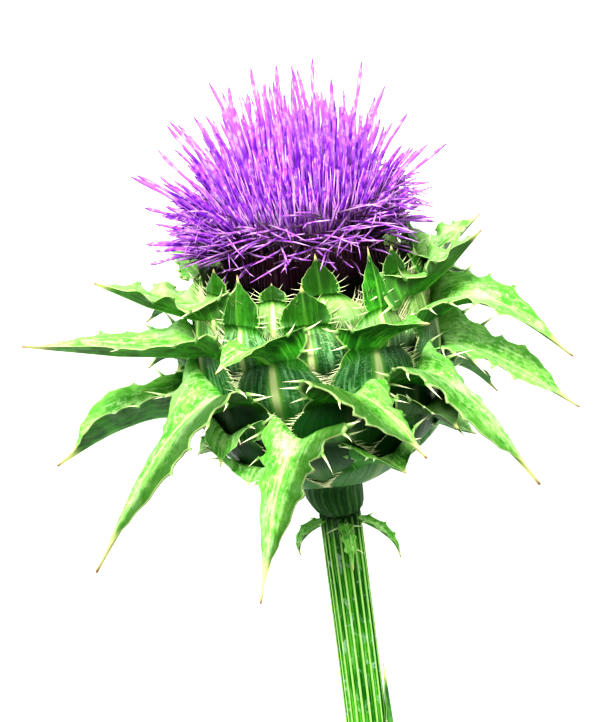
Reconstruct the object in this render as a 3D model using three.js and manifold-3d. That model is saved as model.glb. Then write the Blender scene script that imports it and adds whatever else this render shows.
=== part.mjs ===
// A milk thistle flower head on its cut stem, lying on a flat surface.
// Millimetres, +Z up, +Y from the cut end towards the flower. The origin is the middle of the footprint.
//
// Everything on the head is designed standing up, in the head's own frame: its origin is the middle of the
// head's widest level, +Z is the flower's axis and -Y is the side that is on top once the flower lies down.
// An azimuth is measured in degrees from -Y towards +X, and a height is along the flower's axis.
import * as THREE from 'three';
import { mergeVertices } from 'three/addons/utils/BufferGeometryUtils.js';
import Module from 'manifold-3d';

const wasm = await Module();
wasm.setup();

// ---- Driving dimensions ----

const lieSlope = 20; // degrees that the flower's axis climbs from the surface towards the florets
const lieLean = 8; // degrees that the axis leans towards -X, seen from above
const headCentreHeight = 37.5; // from the surface to the head's origin
const fitGap = 0.35; // left between pieces that touch

const headRadius = 19.6; // the globe that the bracts are pressed against, at its widest
const headDepth = 17; // from the widest level down to the globe's pole
const headCrown = 34.6; // the upper half is an egg this high, cut off at the rim
const rimHeight = 21; // level of the head's open rim
const receptacleTop = -6; // level where the fleshy receptacle ends and the fruits begin
const knobRadius = 4.9; // swelling of the stem's top under the head
const knobLength = 6;

const stemRadius = 3.25;
const stemLength = 77; // along the surface, from the knob to the cut end
const stemDrift = 12; // how far the cut end is off to the side
const ribCount = 16;
const ribHeight = 0.3;

const scaleThickness = 0.9; // a bract's base is a scale pressed against the globe
const footThickness = 0.35; // where it starts
const scaleTuck = 3; // how far down its foot is tucked behind the row below
const tuckDepth = 1.3; // how far in
const edgeDrop = 2; // how much lower its top is at its edges than at the neck
const bladeThickness = 1.5; // a limb's midrib, at its thickest
const channelDepth = 0.16; // how far a limb's edges stand above its middle, as a share of its width
const archHeight = 2.6; // how far a spreading limb rises above the straight line to its tip
const spineRadius = 0.45; // a marginal spine, at its root
const spineLength = 4.4;
const spinyLimb = 14; // a limb shorter than this has shorter spines

const columnInset = 2.2; // the florets leave the head as a column, this far inside the rim
const columnRise = 5; // from the rim to where they start to spread
const tuftHeight = 19; // from there to the top of the packed tuft
const tuftSpread = 19.5; // its radius
const styleLength = 6.5; // how far the styles stand out of the tuft
const styleRadius = 0.8; // at a style's root
const styleClearance = 14; // degrees that the styles of two bundles stay apart
const bundleCount = 5; // bundles of florets round one in the middle
const coreRadius = 6.5; // of the middle bundle

// ---- Bracts: one list per row, from the stem up. Each is [azimuth, out, rise, options] ----
// A row's scales start at its foot, and its limbs leave the globe at its neck. Both are shares of the head's
// depth below the widest level, or of the rim's height above it. Out and rise take a limb from neck to tip,
// and a tip on the surface has its rise worked out. A limb with a sway ends at another azimuth.
const onSurface = 'on the surface';
const rows = [
  {
    name: 'basal', foot: -0.92, neck: -0.47, width: 5.4, arch: 0.1, bracts: [
      [25, 8.2, -0.5, { width: 6.4 }], [78, 6.7, -3], [128, 10.7, -5], [178, 11.7, -7],
      [-132, 10.7, -5], [-88, 4.5, -1.5], [-42, 3.5, -2],
    ],
  },
  {
    name: 'lower', foot: -0.41, neck: -0.12, width: 6, bracts: [
      [-84, 25, -4.5, { arch: 5, width: 6.8 }], [-48, 4.5, -4, { arch: 1.5 }],
      [-10, 14.5, -21.5, { arch: 6.5, sway: -15 }], [48, 7.5, -2.5, { arch: 0.6 }], [100, 9.5, -6],
      [147, 24.5, onSurface], [-147, 24.5, onSurface], [-117, 10.5, -6],
    ],
  },
  {
    name: 'middle', foot: -0.06, neck: 0.21, width: 6.2, bracts: [
      [-48, 26, -22.4, { arch: 5, width: 7.2, sway: -12 }], [10, 15, -7.4, { width: 7, sway: 14 }],
      [43, 19, -18.4, { arch: 5, width: 6.6, sway: 12 }], [82, 21.5, -13, { arch: 5 }], [124, 12.5, -7.4],
      [179, 14, -7.5, { width: 5.4 }], [-130, 12.5, -7.4], [-97, 8.5, 0.6],
    ],
  },
  {
    name: 'upper', foot: 0.26, neck: 0.52, width: 6.2, bracts: [
      [-67, 29, 7, { arch: 0, width: 6.6, sway: -5 }], [-22, 9.5, 1, { sway: -13 }],
      [26, 9.5, 4, { arch: 1.5, sway: 12 }], [72, 23, -8, { arch: 7, width: 6.8 }], [115, 13.4, -3],
      [160, 22.4, onSurface], [-163, 22.4, onSurface], [-114, 11.4, -1],
    ],
  },
  {
    name: 'crown', foot: 0.57, neck: 0.77, width: 5.2, bracts: [
      [-73, 17.2, 8.8, { arch: 0 }], [-38, 0.2, 9.6, { erect: true }],
      [-4, 1.3, 6.4, { erect: true, width: 6 }], [33, 0.3, 10, { erect: true }],
      [66, 12.7, 9.3, { arch: 0 }], [98, 11.7, 6.8, { arch: 0 }],
      [142, 10.7, 6.8, { arch: 0 }], [-175, 10.7, 5.8, { arch: 0 }], [-122, 8.7, 5.8, { arch: 0 }],
    ],
  },
  {
    name: 'inner', foot: 0.81, neck: 0.96, width: 4.6, erect: true, bracts: [
      [-58, 1, 4.8], [-20, 0.8, 5.3], [12, 0.8, 5.7], [52, 1, 5.2],
      [100, 1.1, 5.2], [148, 1.1, 5.2], [-160, 1.1, 5.2], [-106, 1.1, 5.2],
    ],
  },
];

// ---- The head's frame ----

const radians = THREE.MathUtils.degToRad;

// A point of the head from its distance to the axis, its azimuth and its height.
function onHead(radius, azimuth, height) {
  const angle = radians(azimuth);
  return new THREE.Vector3(radius * Math.sin(angle), -radius * Math.cos(angle), height);
}

// The globe's radius at a height.
function globeRadius(height) {
  const half = height < 0 ? headDepth : headCrown;
  return headRadius * Math.sqrt(Math.max(0, 1 - (height / half) ** 2));
}

// The level that a share of the head's depth or of the rim's height stands for.
function levelAt(share) {
  return share * (share < 0 ? headDepth : rimHeight);
}

// Laying the head down: its front turns up, and then it leans.
const laid = new THREE.Matrix4()
  .makeRotationZ(radians(lieLean))
  .multiply(new THREE.Matrix4().makeRotationX(radians(lieSlope - 90)))
  .setPosition(0, 0, headCentreHeight);
const laidHead = new THREE.Group();
laidHead.applyMatrix4(laid);
laidHead.updateMatrixWorld(true);

// The height at which a point of the head with this reach and azimuth is on the surface.
function heightOnSurface(reach, azimuth) {
  const depth = -reach * Math.cos(radians(azimuth));
  const slope = radians(lieSlope);
  return (depth * Math.cos(slope) - headCentreHeight) / Math.sin(slope);
}

// ---- Shared shapes ----

// A closed body through a list of rings, which all have the same number of points.
function loft(rings) {
  const count = rings[0].length;
  const points = rings.flat();
  const faces = [];
  for (let ring = 0; ring + 1 < rings.length; ring++) {
    for (let i = 0; i < count; i++) {
      const here = ring * count + i;
      const next = ring * count + (i + 1) % count;
      faces.push(here, next + count, next, here, here + count, next + count);
    }
  }
  const last = points.length - count;
  for (let i = 1; i + 1 < count; i++) {
    faces.push(0, i, i + 1, last, last + i + 1, last + i);
  }
  return new THREE.BufferGeometry().setFromPoints(points).setIndex(faces);
}

function toSolid(geometry) {
  const bare = geometry.clone();
  bare.deleteAttribute('normal');
  bare.deleteAttribute('uv');
  const merged = mergeVertices(bare, 1e-4);
  return new wasm.Manifold(new wasm.Mesh({
    numProp: 3,
    vertProperties: merged.attributes.position.array,
    triVerts: new Uint32Array(merged.index.array),
  }));
}

function toGeometry(solid) {
  const mesh = solid.getMesh();
  const geometry = new THREE.BufferGeometry();
  geometry.setAttribute('position', new THREE.BufferAttribute(mesh.vertProperties, 3));
  geometry.setIndex(new THREE.BufferAttribute(mesh.triVerts, 1));
  return geometry;
}

// A spike with its middle at a point: half of it is rooted in the piece, and half stands out.
function spike(root, direction, radius, length, sides) {
  const geometry = new THREE.ConeGeometry(radius, length, sides);
  const turn = new THREE.Quaternion().setFromUnitVectors(
    new THREE.Vector3(0, 1, 0), direction.clone().normalize(),
  );
  return geometry.applyQuaternion(turn).translate(root.x, root.y, root.z);
}

function piece(name, geometry, material) {
  const mesh = new THREE.Mesh(geometry, material);
  mesh.name = name;
  return mesh;
}

// ---- Materials ----

const stemGreen = new THREE.MeshStandardMaterial({ color: 0x5f9348, roughness: 0.7, metalness: 0 });
const headGreen = new THREE.MeshStandardMaterial({ color: 0x4a7a3a, roughness: 0.7, metalness: 0 });
const bractGreen = new THREE.MeshStandardMaterial({ color: 0x8fca66, roughness: 0.5, metalness: 0 });
const floretPurple = new THREE.MeshStandardMaterial({ color: 0xb45ce8, roughness: 0.6, metalness: 0 });

// ---- A bract ----
// Its scale is pressed against the globe between the scales beside it. At the neck its limb leaves the head:
// a channelled blade, widest at its spiny shoulders, that ends in a stout spine.
// Shares run from the neck to the tip. Widths are shares of the row's width, thicknesses of the midrib's and
// hollows of the channel's depth. A pair of marginal spines turns out from the limb by its degrees.
const limbShape = [
  { share: 0.05, width: 1.5, thickness: 0.8, hollow: 0 },
  { share: 0.16, width: 1.75, thickness: 1, hollow: 0.5, spines: 72 },
  { share: 0.32, width: 1.15, thickness: 1, hollow: 1, spines: 50 },
  { share: 0.55, width: 0.92, thickness: 0.85, hollow: 1 },
  { share: 0.78, width: 0.42, thickness: 0.6, hollow: 1 },
  { share: 1, width: 0.05, thickness: 0.15, hollow: 1 },
];
const erectShape = [
  { share: 0.05, width: 1.2, thickness: 0.7, hollow: 0 },
  { share: 0.45, width: 0.95, thickness: 0.6, hollow: 0.3 },
  { share: 1, width: 0.08, thickness: 0.25, hollow: 0.3 },
];
const scaleLevels = [0, 0.5, 1];

// The line that the middle of a limb follows, from the neck to the tip.
function limbLine(bract) {
  const neck = onHead(globeRadius(bract.neck) + scaleThickness * 1.5, bract.azimuth, bract.neck);
  const tip = onHead(bract.reach, bract.azimuth + bract.sway, bract.tip);
  const points = [0, 0.3, 0.65, 1].map((share) => {
    const point = neck.clone().lerp(tip, share);
    point.z += bract.arch * Math.sin(Math.PI * share ** 0.8);
    return point;
  });
  return new THREE.CatmullRomCurve3(points, false, 'centripetal');
}

// A ring runs over the upper face from the left edge to the right one, and back under the midrib.
const upperFace = [-1, -0.5, 0, 0.5, 1];
const lowerFace = [0.6, 0, -0.6];

// One ring of a scale, at a share of the way from its foot to its neck. The foot is deeper in than the top,
// so that each row starts behind the one below it, and the top of a scale is an arch.
function scaleRing(bract, share) {
  const widest = Math.max(bract.leftOpening, bract.rightOpening);
  const thickness = THREE.MathUtils.lerp(footThickness, scaleThickness, share);
  const ring = [];
  for (const [face, depth] of [[upperFace, 0], [lowerFace, thickness]]) {
    for (const across of face) {
      const height = scaleHeight(bract.foot, bract.neck, share) - edgeDrop * share * across ** 2;
      const inner = globeRadius(height) / Math.cos(radians(widest / 4)) - tuckDepth * (1 - share);
      const gap = THREE.MathUtils.radToDeg(fitGap / 2 / inner);
      const opening = across < 0 ? bract.leftOpening : bract.rightOpening;
      ring.push(onHead(inner + depth, bract.azimuth + across * (opening - gap), height));
    }
  }
  return ring;
}

// One ring of a limb, with its upper face hollowed and its lower face rounded by the midrib.
function limbRing(line, at, azimuth, width, thickness, channel) {
  const centre = line.getPointAt(at);
  const along = line.getTangentAt(at);
  const side = onHead(1, azimuth + 90, 0);
  const up = new THREE.Vector3().crossVectors(along, side).normalize();
  const across = new THREE.Vector3().crossVectors(up, along).normalize();
  const onRing = (share, depth) => centre.clone()
    .addScaledVector(across, share * width / 2)
    .addScaledVector(up, channel * width * share ** 2 - depth * (1 - 0.5 * share ** 2));
  return [
    ...upperFace.map((share) => onRing(share, 0)),
    ...lowerFace.map((share) => onRing(share, thickness)),
  ];
}

// How high a scale's middle is at a share of the way from its foot to just under its neck.
function scaleHeight(foot, neck, share) {
  return THREE.MathUtils.lerp(foot, neck - fitGap, share);
}

function bractGeometry(bract) {
  const line = limbLine(bract);
  const rings = scaleLevels.map((share) => scaleRing(bract, share));
  const spines = [];
  const spineHalf = spineLength * Math.min(1, line.getLength() / spinyLimb);
  for (const station of bract.erect ? erectShape : limbShape) {
    const turned = bract.azimuth + bract.sway * station.share;
    const width = station.width * bract.width;
    const thickness = station.thickness * bladeThickness;
    const ring = limbRing(line, station.share, turned, width, thickness, channelDepth * station.hollow);
    rings.push(ring);
    if (station.spines) {
      const along = line.getTangentAt(station.share);
      for (const [edge, middle] of [[ring[0], ring[2]], [ring[4], ring[2]]]) {
        const out = edge.clone().sub(middle).normalize();
        const root = edge.clone().addScaledVector(out, -spineRadius);
        const direction = out.multiplyScalar(Math.sin(radians(station.spines)))
          .addScaledVector(along, Math.cos(radians(station.spines)));
        spines.push(spike(root, direction, spineRadius, spineHalf * 2, 3));
      }
    }
  }
  let solid = toSolid(loft(rings));
  for (const spine of spines) {
    solid = solid.add(toSolid(spine));
  }
  return toGeometry(solid);
}

// Half of the way round to the next bract of the row, in degrees.
function halfWayRound(from, to) {
  return THREE.MathUtils.euclideanModulo(to - from, 360) / 2;
}

function addBracts(group) {
  for (const row of rows) {
    const azimuths = row.bracts.map(([azimuth]) => azimuth).sort((a, b) => a - b);
    row.bracts.forEach(([azimuth, out, rise, options = {}], i) => {
      const place = azimuths.indexOf(azimuth);
      const neck = levelAt(row.neck);
      const bract = {
        azimuth,
        neck,
        foot: levelAt(row.foot) - (row === rows[0] ? 0 : scaleTuck),
        reach: globeRadius(neck) + out,
        width: row.width,
        erect: row.erect,
        arch: row.arch ?? archHeight,
        sway: 0,
        leftOpening: halfWayRound(azimuths.at(place - 1), azimuth),
        rightOpening: halfWayRound(azimuth, azimuths[(place + 1) % azimuths.length]),
        ...options,
      };
      bract.arch = bract.erect ? 0 : bract.arch;
      bract.tip = rise === onSurface ? heightOnSurface(bract.reach, azimuth + bract.sway) : neck + rise;
      group.add(piece(`${row.name}_bract_${i + 1}`, bractGeometry(bract), bractGreen));
    });
  }
}

// ---- The receptacle: the fleshy end of the stem, from its knob to the floor that the florets grow on ----

const knobFoot = -headDepth - knobLength;

function addReceptacle(group) {
  const knobMeets = -headDepth * Math.sqrt(1 - (knobRadius / headRadius) ** 2);
  const [lowest] = rows;
  const shoulder = scaleLevels.map((share) => {
    const height = scaleHeight(levelAt(lowest.foot), levelAt(lowest.neck), share);
    return new THREE.Vector2(globeRadius(height) - tuckDepth - fitGap, height);
  });
  const outline = [
    new THREE.Vector2(0, knobFoot),
    new THREE.Vector2(stemRadius + ribHeight, knobFoot),
    new THREE.Vector2(knobRadius, knobFoot + knobLength * 0.55),
    new THREE.Vector2(knobRadius, knobMeets),
    ...shoulder,
    new THREE.Vector2(globeRadius(receptacleTop) - tuckDepth - fitGap, receptacleTop),
    new THREE.Vector2(0, receptacleTop),
  ];
  group.add(piece('receptacle', new THREE.LatheGeometry(outline, 28).rotateX(Math.PI / 2), headGreen));
}

// ---- Florets: bundles that start on the receptacle, fill the head and spread over its rim ----

const tuftUnderside = rimHeight + columnRise;
const tuftTop = tuftUnderside + tuftHeight;

// Half of a bundle's section.
function tuftOutline(spread) {
  const floorHeight = receptacleTop + fitGap;
  const column = [floorHeight, 0, rimHeight * 0.4, rimHeight * 0.75].map((height) => (
    new THREE.Vector2(globeRadius(height) - tuckDepth - fitGap, height)
  ));
  const columnRadius = globeRadius(rimHeight) - columnInset;
  return [
    new THREE.Vector2(0, floorHeight),
    ...column,
    new THREE.Vector2(columnRadius, rimHeight),
    new THREE.Vector2(columnRadius, tuftUnderside),
    new THREE.Vector2(spread * 0.96, tuftUnderside + tuftHeight * 0.08),
    new THREE.Vector2(spread, tuftUnderside + tuftHeight * 0.24),
    new THREE.Vector2(spread * 0.86, tuftUnderside + tuftHeight * 0.62),
    new THREE.Vector2(spread * 0.52, tuftUnderside + tuftHeight * 0.9),
    new THREE.Vector2(0, tuftTop),
  ];
}

// A wedge of the given opening about the axis, wide and high enough to hold a bundle.
function wedge(azimuth, opening) {
  const half = radians(opening / 2);
  const reach = tuftSpread * 3;
  const outline = new THREE.Shape()
    .moveTo(0, 0)
    .lineTo(-reach * Math.sin(half), -reach * Math.cos(half))
    .lineTo(reach * Math.sin(half), -reach * Math.cos(half))
    .closePath();
  return new THREE.ExtrudeGeometry(outline, { depth: tuftTop * 3, bevelEnabled: false })
    .translate(0, -fitGap / Math.sin(half) / 2, -tuftTop)
    .rotateZ(radians(azimuth));
}

// Styles stand out of a bundle in rings. Each ring is [degrees off the flower's axis, number of styles].
function styles(azimuth, opening, rings) {
  const heart = new THREE.Vector3(0, 0, tuftUnderside);
  const made = [];
  for (const [lean, count] of rings) {
    const outward = Math.sin(radians(lean));
    const upward = Math.cos(radians(lean));
    const far = 1 / Math.hypot(outward / tuftSpread, upward / tuftHeight);
    for (let i = 0; i < count; i++) {
      const fan = onHead(outward, azimuth + ((i + 0.5) / count - 0.5) * (opening - styleClearance), upward);
      const root = heart.clone().addScaledVector(fan, far * 0.94);
      made.push(toSolid(spike(root, fan, styleRadius, styleLength * 2, 3)));
    }
  }
  return made;
}

function addFlorets(group) {
  const turned = (outline) => toSolid(new THREE.LatheGeometry(outline, 24).rotateX(Math.PI / 2));
  const rod = (radius) => {
    const upright = new THREE.CylinderGeometry(radius, radius, tuftTop * 4, 16);
    return toSolid(upright.rotateX(Math.PI / 2));
  };

  let middleBundle = turned(tuftOutline(tuftSpread));
  for (const style of styles(0, 360 + styleClearance, [[2, 1], [10, 6]])) {
    middleBundle = middleBundle.add(style);
  }
  const core = middleBundle.intersect(rod(coreRadius));
  group.add(piece('floret_bundle_middle', toGeometry(core), floretPurple));

  const opening = 360 / bundleCount;
  const wholeTuft = turned(tuftOutline(tuftSpread));
  const hollow = rod(coreRadius + fitGap * 1.5);
  for (let i = 0; i < bundleCount; i++) {
    const azimuth = (i + 0.5) * opening;
    let bundle = wholeTuft.intersect(toSolid(wedge(azimuth, opening)));
    for (const style of styles(azimuth, opening, [[42, 2], [50, 3], [58, 4], [66, 5], [74, 6], [82, 5]])) {
      bundle = bundle.add(style);
    }
    group.add(piece(`floret_bundle_${i + 1}`, toGeometry(bundle.subtract(hollow)), floretPurple));
  }
}

// ---- The stem, and the small spiny leaves on it ----

// The stem runs on from the knob along the axis, and comes down until its cut end is on the surface.
function stemLine() {
  const top = new THREE.Vector3(0, 0, knobFoot - fitGap).applyMatrix4(laid);
  const axis = new THREE.Vector3(0, 0, -1).transformDirection(laid);
  const cutEnd = new THREE.Vector3(stemDrift, top.y - stemLength, stemRadius);
  const straight = cutEnd.clone().sub(top);
  return new THREE.CatmullRomCurve3([
    top,
    top.clone().addScaledVector(axis, stemLength * 0.08),
    top.clone().addScaledVector(straight, 0.5).add(new THREE.Vector3(0.6, 0, 0.8)),
    cutEnd,
  ], false, 'centripetal');
}

function addStem(group) {
  const outline = new THREE.Shape();
  for (let i = 0; i < ribCount * 2; i++) {
    const angle = Math.PI * i / ribCount;
    const radius = stemRadius + (i % 2 ? 0 : ribHeight);
    outline[i ? 'lineTo' : 'moveTo'](radius * Math.cos(angle), radius * Math.sin(angle));
  }
  outline.closePath();
  const rod = new THREE.ExtrudeGeometry(outline, { steps: 12, extrudePath: stemLine(), curveSegments: 1 });
  group.add(piece('stem', rod, stemGreen));
}

// A small leaf through the given points, whose upper face is turned to a side of the head.
function leafGeometry(points, azimuth, width) {
  const line = new THREE.CatmullRomCurve3(points);
  const shape = [[0, 0.9, 0.7], [0.35, 1, 0.9], [0.7, 0.4, 0.5], [1, 0.06, 0.2]];
  return loft(shape.map(([at, share, thickness]) => (
    limbRing(line, at, azimuth, width * share, thickness, channelDepth)
  )));
}

// Leaflets leave the stem's top. Each is [azimuth, reach, height of the tip].
const leaflets = [[-70, 8, -29], [6, 7.6, -31], [62, 10, -31]];
const leafletRoot = stemRadius + ribHeight + fitGap + 1;

function addLeaflets(group) {
  leaflets.forEach(([azimuth, reach, height], i) => {
    const top = knobFoot - 1;
    const geometry = leafGeometry([
      onHead(leafletRoot, azimuth, top),
      onHead((leafletRoot + reach) / 2 + 0.8, azimuth, (top + height) / 2 + 0.8),
      onHead(reach, azimuth, height),
    ], azimuth, 3.6);
    group.add(piece(`neck_leaflet_${i + 1}`, geometry, bractGreen));
  });
}

// A narrow leaf clasps the stem's side lower down, with its tip towards the flower.
function addStemLeaf(group) {
  const line = stemLine();
  const points = [0.62, 0.47, 0.33].map((at, i) => {
    const sideways = stemRadius + ribHeight + fitGap + 1.1 + i * 0.2;
    return line.getPointAt(at).add(new THREE.Vector3(sideways, 0, 0.5));
  });
  group.add(piece('stem_leaf', leafGeometry(points, 90, 3.4), bractGreen));
}

// ---- The flower ----

const flower = new THREE.Group();
flower.add(laidHead);
addReceptacle(laidHead);
addBracts(laidHead);
addFlorets(laidHead);
addLeaflets(laidHead);
addStem(flower);
addStemLeaf(flower);

// The origin goes to the middle of the footprint.
flower.updateMatrixWorld(true);
const extent = new THREE.Box3().setFromObject(flower, true);
const middle = extent.getCenter(new THREE.Vector3());
flower.position.set(-middle.x, -middle.y, -extent.min.z);

export default flower;
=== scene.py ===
# %% [markdown]
# # A milk thistle, cut and laid down
# The flower lies on its side on a pale floor, and the camera looks straight down on it. Its solids were
# already made in CAD, and they fix where every bract, bundle of florets and stretch of stem is.
# Here each of them gets a finer piece that takes its place: a leaf with a channel, teeth and spines
# instead of a faceted blade, and some hundreds of florets instead of six lumps.

# %% Load the frame
import math
import random

import bpy
from mathutils import Matrix, Vector


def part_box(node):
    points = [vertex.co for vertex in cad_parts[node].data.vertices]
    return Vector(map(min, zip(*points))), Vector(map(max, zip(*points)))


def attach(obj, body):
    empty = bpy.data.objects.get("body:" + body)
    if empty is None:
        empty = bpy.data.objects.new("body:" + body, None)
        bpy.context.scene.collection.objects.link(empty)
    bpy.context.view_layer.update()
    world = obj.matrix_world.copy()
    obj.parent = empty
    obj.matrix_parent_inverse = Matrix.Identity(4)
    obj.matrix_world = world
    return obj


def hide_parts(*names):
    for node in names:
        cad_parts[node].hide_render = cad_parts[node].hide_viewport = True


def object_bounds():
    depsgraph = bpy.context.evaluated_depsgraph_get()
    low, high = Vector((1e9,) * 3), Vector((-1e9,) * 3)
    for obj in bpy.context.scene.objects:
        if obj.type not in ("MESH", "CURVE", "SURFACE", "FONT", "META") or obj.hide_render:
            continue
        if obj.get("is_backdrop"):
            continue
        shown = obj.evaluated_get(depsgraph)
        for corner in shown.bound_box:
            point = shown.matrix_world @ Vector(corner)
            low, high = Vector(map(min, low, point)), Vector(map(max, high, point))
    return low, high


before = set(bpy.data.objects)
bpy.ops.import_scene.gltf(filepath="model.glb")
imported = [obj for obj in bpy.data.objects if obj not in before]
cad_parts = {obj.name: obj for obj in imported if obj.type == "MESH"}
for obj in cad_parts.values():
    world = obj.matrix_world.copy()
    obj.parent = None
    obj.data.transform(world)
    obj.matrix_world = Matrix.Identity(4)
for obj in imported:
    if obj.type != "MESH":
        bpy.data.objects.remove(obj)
cad_low, cad_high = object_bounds()
cad_size = [round(v * 1000, 1) for v in cad_high - cad_low]
print("CAD solids:", len(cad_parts), "box in mm:", cad_size)

# %% [markdown]
# ## The head's own frame
# A thistle's head is built round its axis, so it is easiest to think of it standing upright: a globe of
# bracts with its origin at its widest level, +Z to the florets, and azimuths counted from its front, -Y.
# The head is laid down by one matrix. Where it lies is read from the receptacle, the solid at its middle,
# by laying down the receptacle's own outline and comparing the two boxes.

# %% The globe, and how it is laid down
mm = 0.001
head_radius = 19.6  # of the globe that the bracts are pressed against
head_depth = 17.0  # from its widest level down to its pole
head_crown = 34.6  # the upper half is an egg this high, cut off at the rim
rim_height = 21.0  # where the florets come out
receptacle_top = -6.0
knob_radius = 4.9  # swelling of the stem under the head
knob_length = 6.0
knob_foot = -head_depth - knob_length
stem_radius = 3.25
rib_height = 0.3
tuck_depth = 1.3  # how far in a bract's foot is tucked behind the row below
fit_gap = 0.35  # left free between neighbouring solids
basal_neck = -0.47  # where the lowest limbs leave the globe, as a share of its depth
lifted = 20  # degrees from the floor up to the head's axis
turned_left = 8  # degrees, seen from above
around_it = 28  # corners of the CAD receptacle's outline

tipped_over = Matrix.Rotation(math.radians(lifted - 90), 4, "X")
laid = Matrix.Rotation(math.radians(turned_left), 4, "Z") @ tipped_over


def on_head(radius, azimuth, height):
    """A point of the upright head from its distance to the axis, its azimuth in degrees and its height."""
    angle = math.radians(azimuth)
    return Vector((radius * math.sin(angle), -radius * math.cos(angle), height))


def globe_radius(height):
    """How far the globe's surface is from the axis at this height."""
    half = head_depth if height < 0 else head_crown
    return head_radius * math.sqrt(max(0.0, 1 - (height / half) ** 2))


shoulder = globe_radius(basal_neck * head_depth - fit_gap) - tuck_depth - fit_gap
receptacle_rim = max(shoulder, globe_radius(receptacle_top) - tuck_depth - fit_gap)
outline = [(stem_radius + rib_height, knob_foot), (receptacle_rim, receptacle_top)]
corners = [laid @ on_head(radius, step * 360 / around_it, height)
           for radius, height in outline for step in range(around_it)]
lowest = [min(corner[i] for corner in corners) for i in range(3)]
highest = [max(corner[i] for corner in corners) for i in range(3)]
receptacle_low, receptacle_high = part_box("receptacle")
head_place = Vector([
    ((receptacle_low[i] + receptacle_high[i]) / mm - lowest[i] - highest[i]) / 2 for i in range(3)
])


def as_laid(point):
    """A point of the upright head, in mm, as it lies on the floor, in metres."""
    return (laid @ point + head_place) * mm


print("the head's middle is at", [round(v, 2) for v in head_place], "mm")

# %% [markdown]
# ## A skin that knows its place
# Leaves, florets and stem are all lofted: a row of rings along a line, joined by faces. A shader paints
# them well only if it knows where on the leaf it is, so each vertex carries two notes. `place` holds how
# far along it is, how far out from the middle, whether it is on the upper face (on a floret, how much
# painted shade darkens it), and how far out on a spine. That last number is below nothing where painted
# shade darkens a leaf or scale, and a little above it on a leaf painted paler all over, partly as painted
# light. `span` holds the same place in millimetres, so that streaks keep one width on long and short
# leaves, and a number that is different for each leaf.

# %% Collect rings into a mesh
def new_skin():
    """The points and faces of one piece, and the two notes of each point."""
    return {"points": [], "faces": [], "place": [], "span": []}


def add_rings(skin, rings):
    """Joins closed rings into a tube with closed ends. A ring is a list of (point, place, span)."""
    first = len(skin["points"])
    count = len(rings[0])
    for ring in rings:
        for point, place, span in ring:
            skin["points"].append(as_laid(point))
            skin["place"].append(place)
            skin["span"].append(span)
    for step in range(len(rings) - 1):
        for i in range(count):
            here = first + step * count + i
            beside = first + step * count + (i + 1) % count
            skin["faces"].append((here, here + count, beside + count, beside))
    last = first + (len(rings) - 1) * count
    skin["faces"].append(tuple(first + i for i in range(count)))
    skin["faces"].append(tuple(last + i for i in reversed(range(count))))


def finish_piece(name, skin, material, nodes):
    """Makes the object, and lets it take the place of its CAD solids."""
    mesh = bpy.data.meshes.new(name)
    mesh.from_pydata(skin["points"], [], skin["faces"])
    mesh.validate()
    place = mesh.attributes.new("place", "FLOAT_COLOR", "POINT")
    place.data.foreach_set("color", [value for row in skin["place"] for value in row])
    span = mesh.attributes.new("span", "FLOAT_VECTOR", "POINT")
    span.data.foreach_set("vector", [value for row in skin["span"] for value in row])
    mesh.polygons.foreach_set("use_smooth", [True] * len(mesh.polygons))
    mesh.materials.append(material)
    mesh.update()
    piece = bpy.data.objects.new(name, mesh)
    bpy.context.scene.collection.objects.link(piece)
    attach(piece, "root")
    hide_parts(*nodes)
    return piece


print("a skin keeps", ", ".join(new_skin()))

# %% [markdown]
# ## Nodes, colours and coats
# One function adds a node with its settings and its links. Colours are written as they look on a screen,
# in sRGB hex, and turned to the linear values that a shader works with. A leaf is painted like scenery:
# a ground colour first, then coats, each laid where some measure passes from one value to another.

# %% Colours and nodes
def from_hex(text):
    """A colour in linear values, with its alpha."""
    parts = [int(text[i:i + 2], 16) / 255 for i in (1, 3, 5)]
    return [p / 12.92 if p <= 0.04045 else ((p + 0.055) / 1.055) ** 2.4 for p in parts] + [1.0]


def add_node(tree, kind, settings, links=None):
    """Settings are the node's own or its sockets' values, and links feed its sockets."""
    node = tree.nodes.new(kind)
    for name, value in settings.items():
        if isinstance(name, str) and name in node.bl_rna.properties:
            setattr(node, name, value)
        else:
            node.inputs[name].default_value = value
    for name, source in (links or {}).items():
        tree.links.new(source, node.inputs[name])
    return node


FACTOR, UNDER, OVER, RESULT = 0, 6, 7, 2  # a colour Mix node's sockets


def paint(tree, ground, coats):
    """Lays coats over a ground. A coat is a measure, where it starts, where it is full, its colour and
    how well it covers."""
    colour = ground
    for measure, start, full, coat, cover in coats:
        ranged = {
            "interpolation_type": "SMOOTHSTEP", "From Min": start, "From Max": full, "To Max": cover,
        }
        mask = add_node(tree, "ShaderNodeMapRange", ranged, {"Value": measure})
        settings, links = {"data_type": "RGBA"}, {FACTOR: mask.outputs["Result"]}
        for socket, value in ((UNDER, colour), (OVER, coat)):
            if isinstance(value, str):
                settings[socket] = from_hex(value)
            else:
                links[socket] = value
        colour = add_node(tree, "ShaderNodeMix", settings, links).outputs[RESULT]
    return colour


# %% How a material starts and ends
def new_material(name):
    """A material with no shader yet, and the measures that its coats can follow."""
    material = bpy.data.materials.new(name)
    material.use_nodes = True
    tree = material.node_tree
    tree.nodes.clear()
    place = add_node(tree, "ShaderNodeAttribute", {"attribute_name": "place"})
    channels = add_node(tree, "ShaderNodeSeparateColor", {}, {"Color": place.outputs["Color"]})
    span = add_node(tree, "ShaderNodeAttribute", {"attribute_name": "span"})
    return material, tree, {
        "along": channels.outputs["Red"], "out": channels.outputs["Green"],
        "upper": channels.outputs["Blue"], "spine": place.outputs["Alpha"],
        "span": span.outputs["Vector"],
    }


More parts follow.
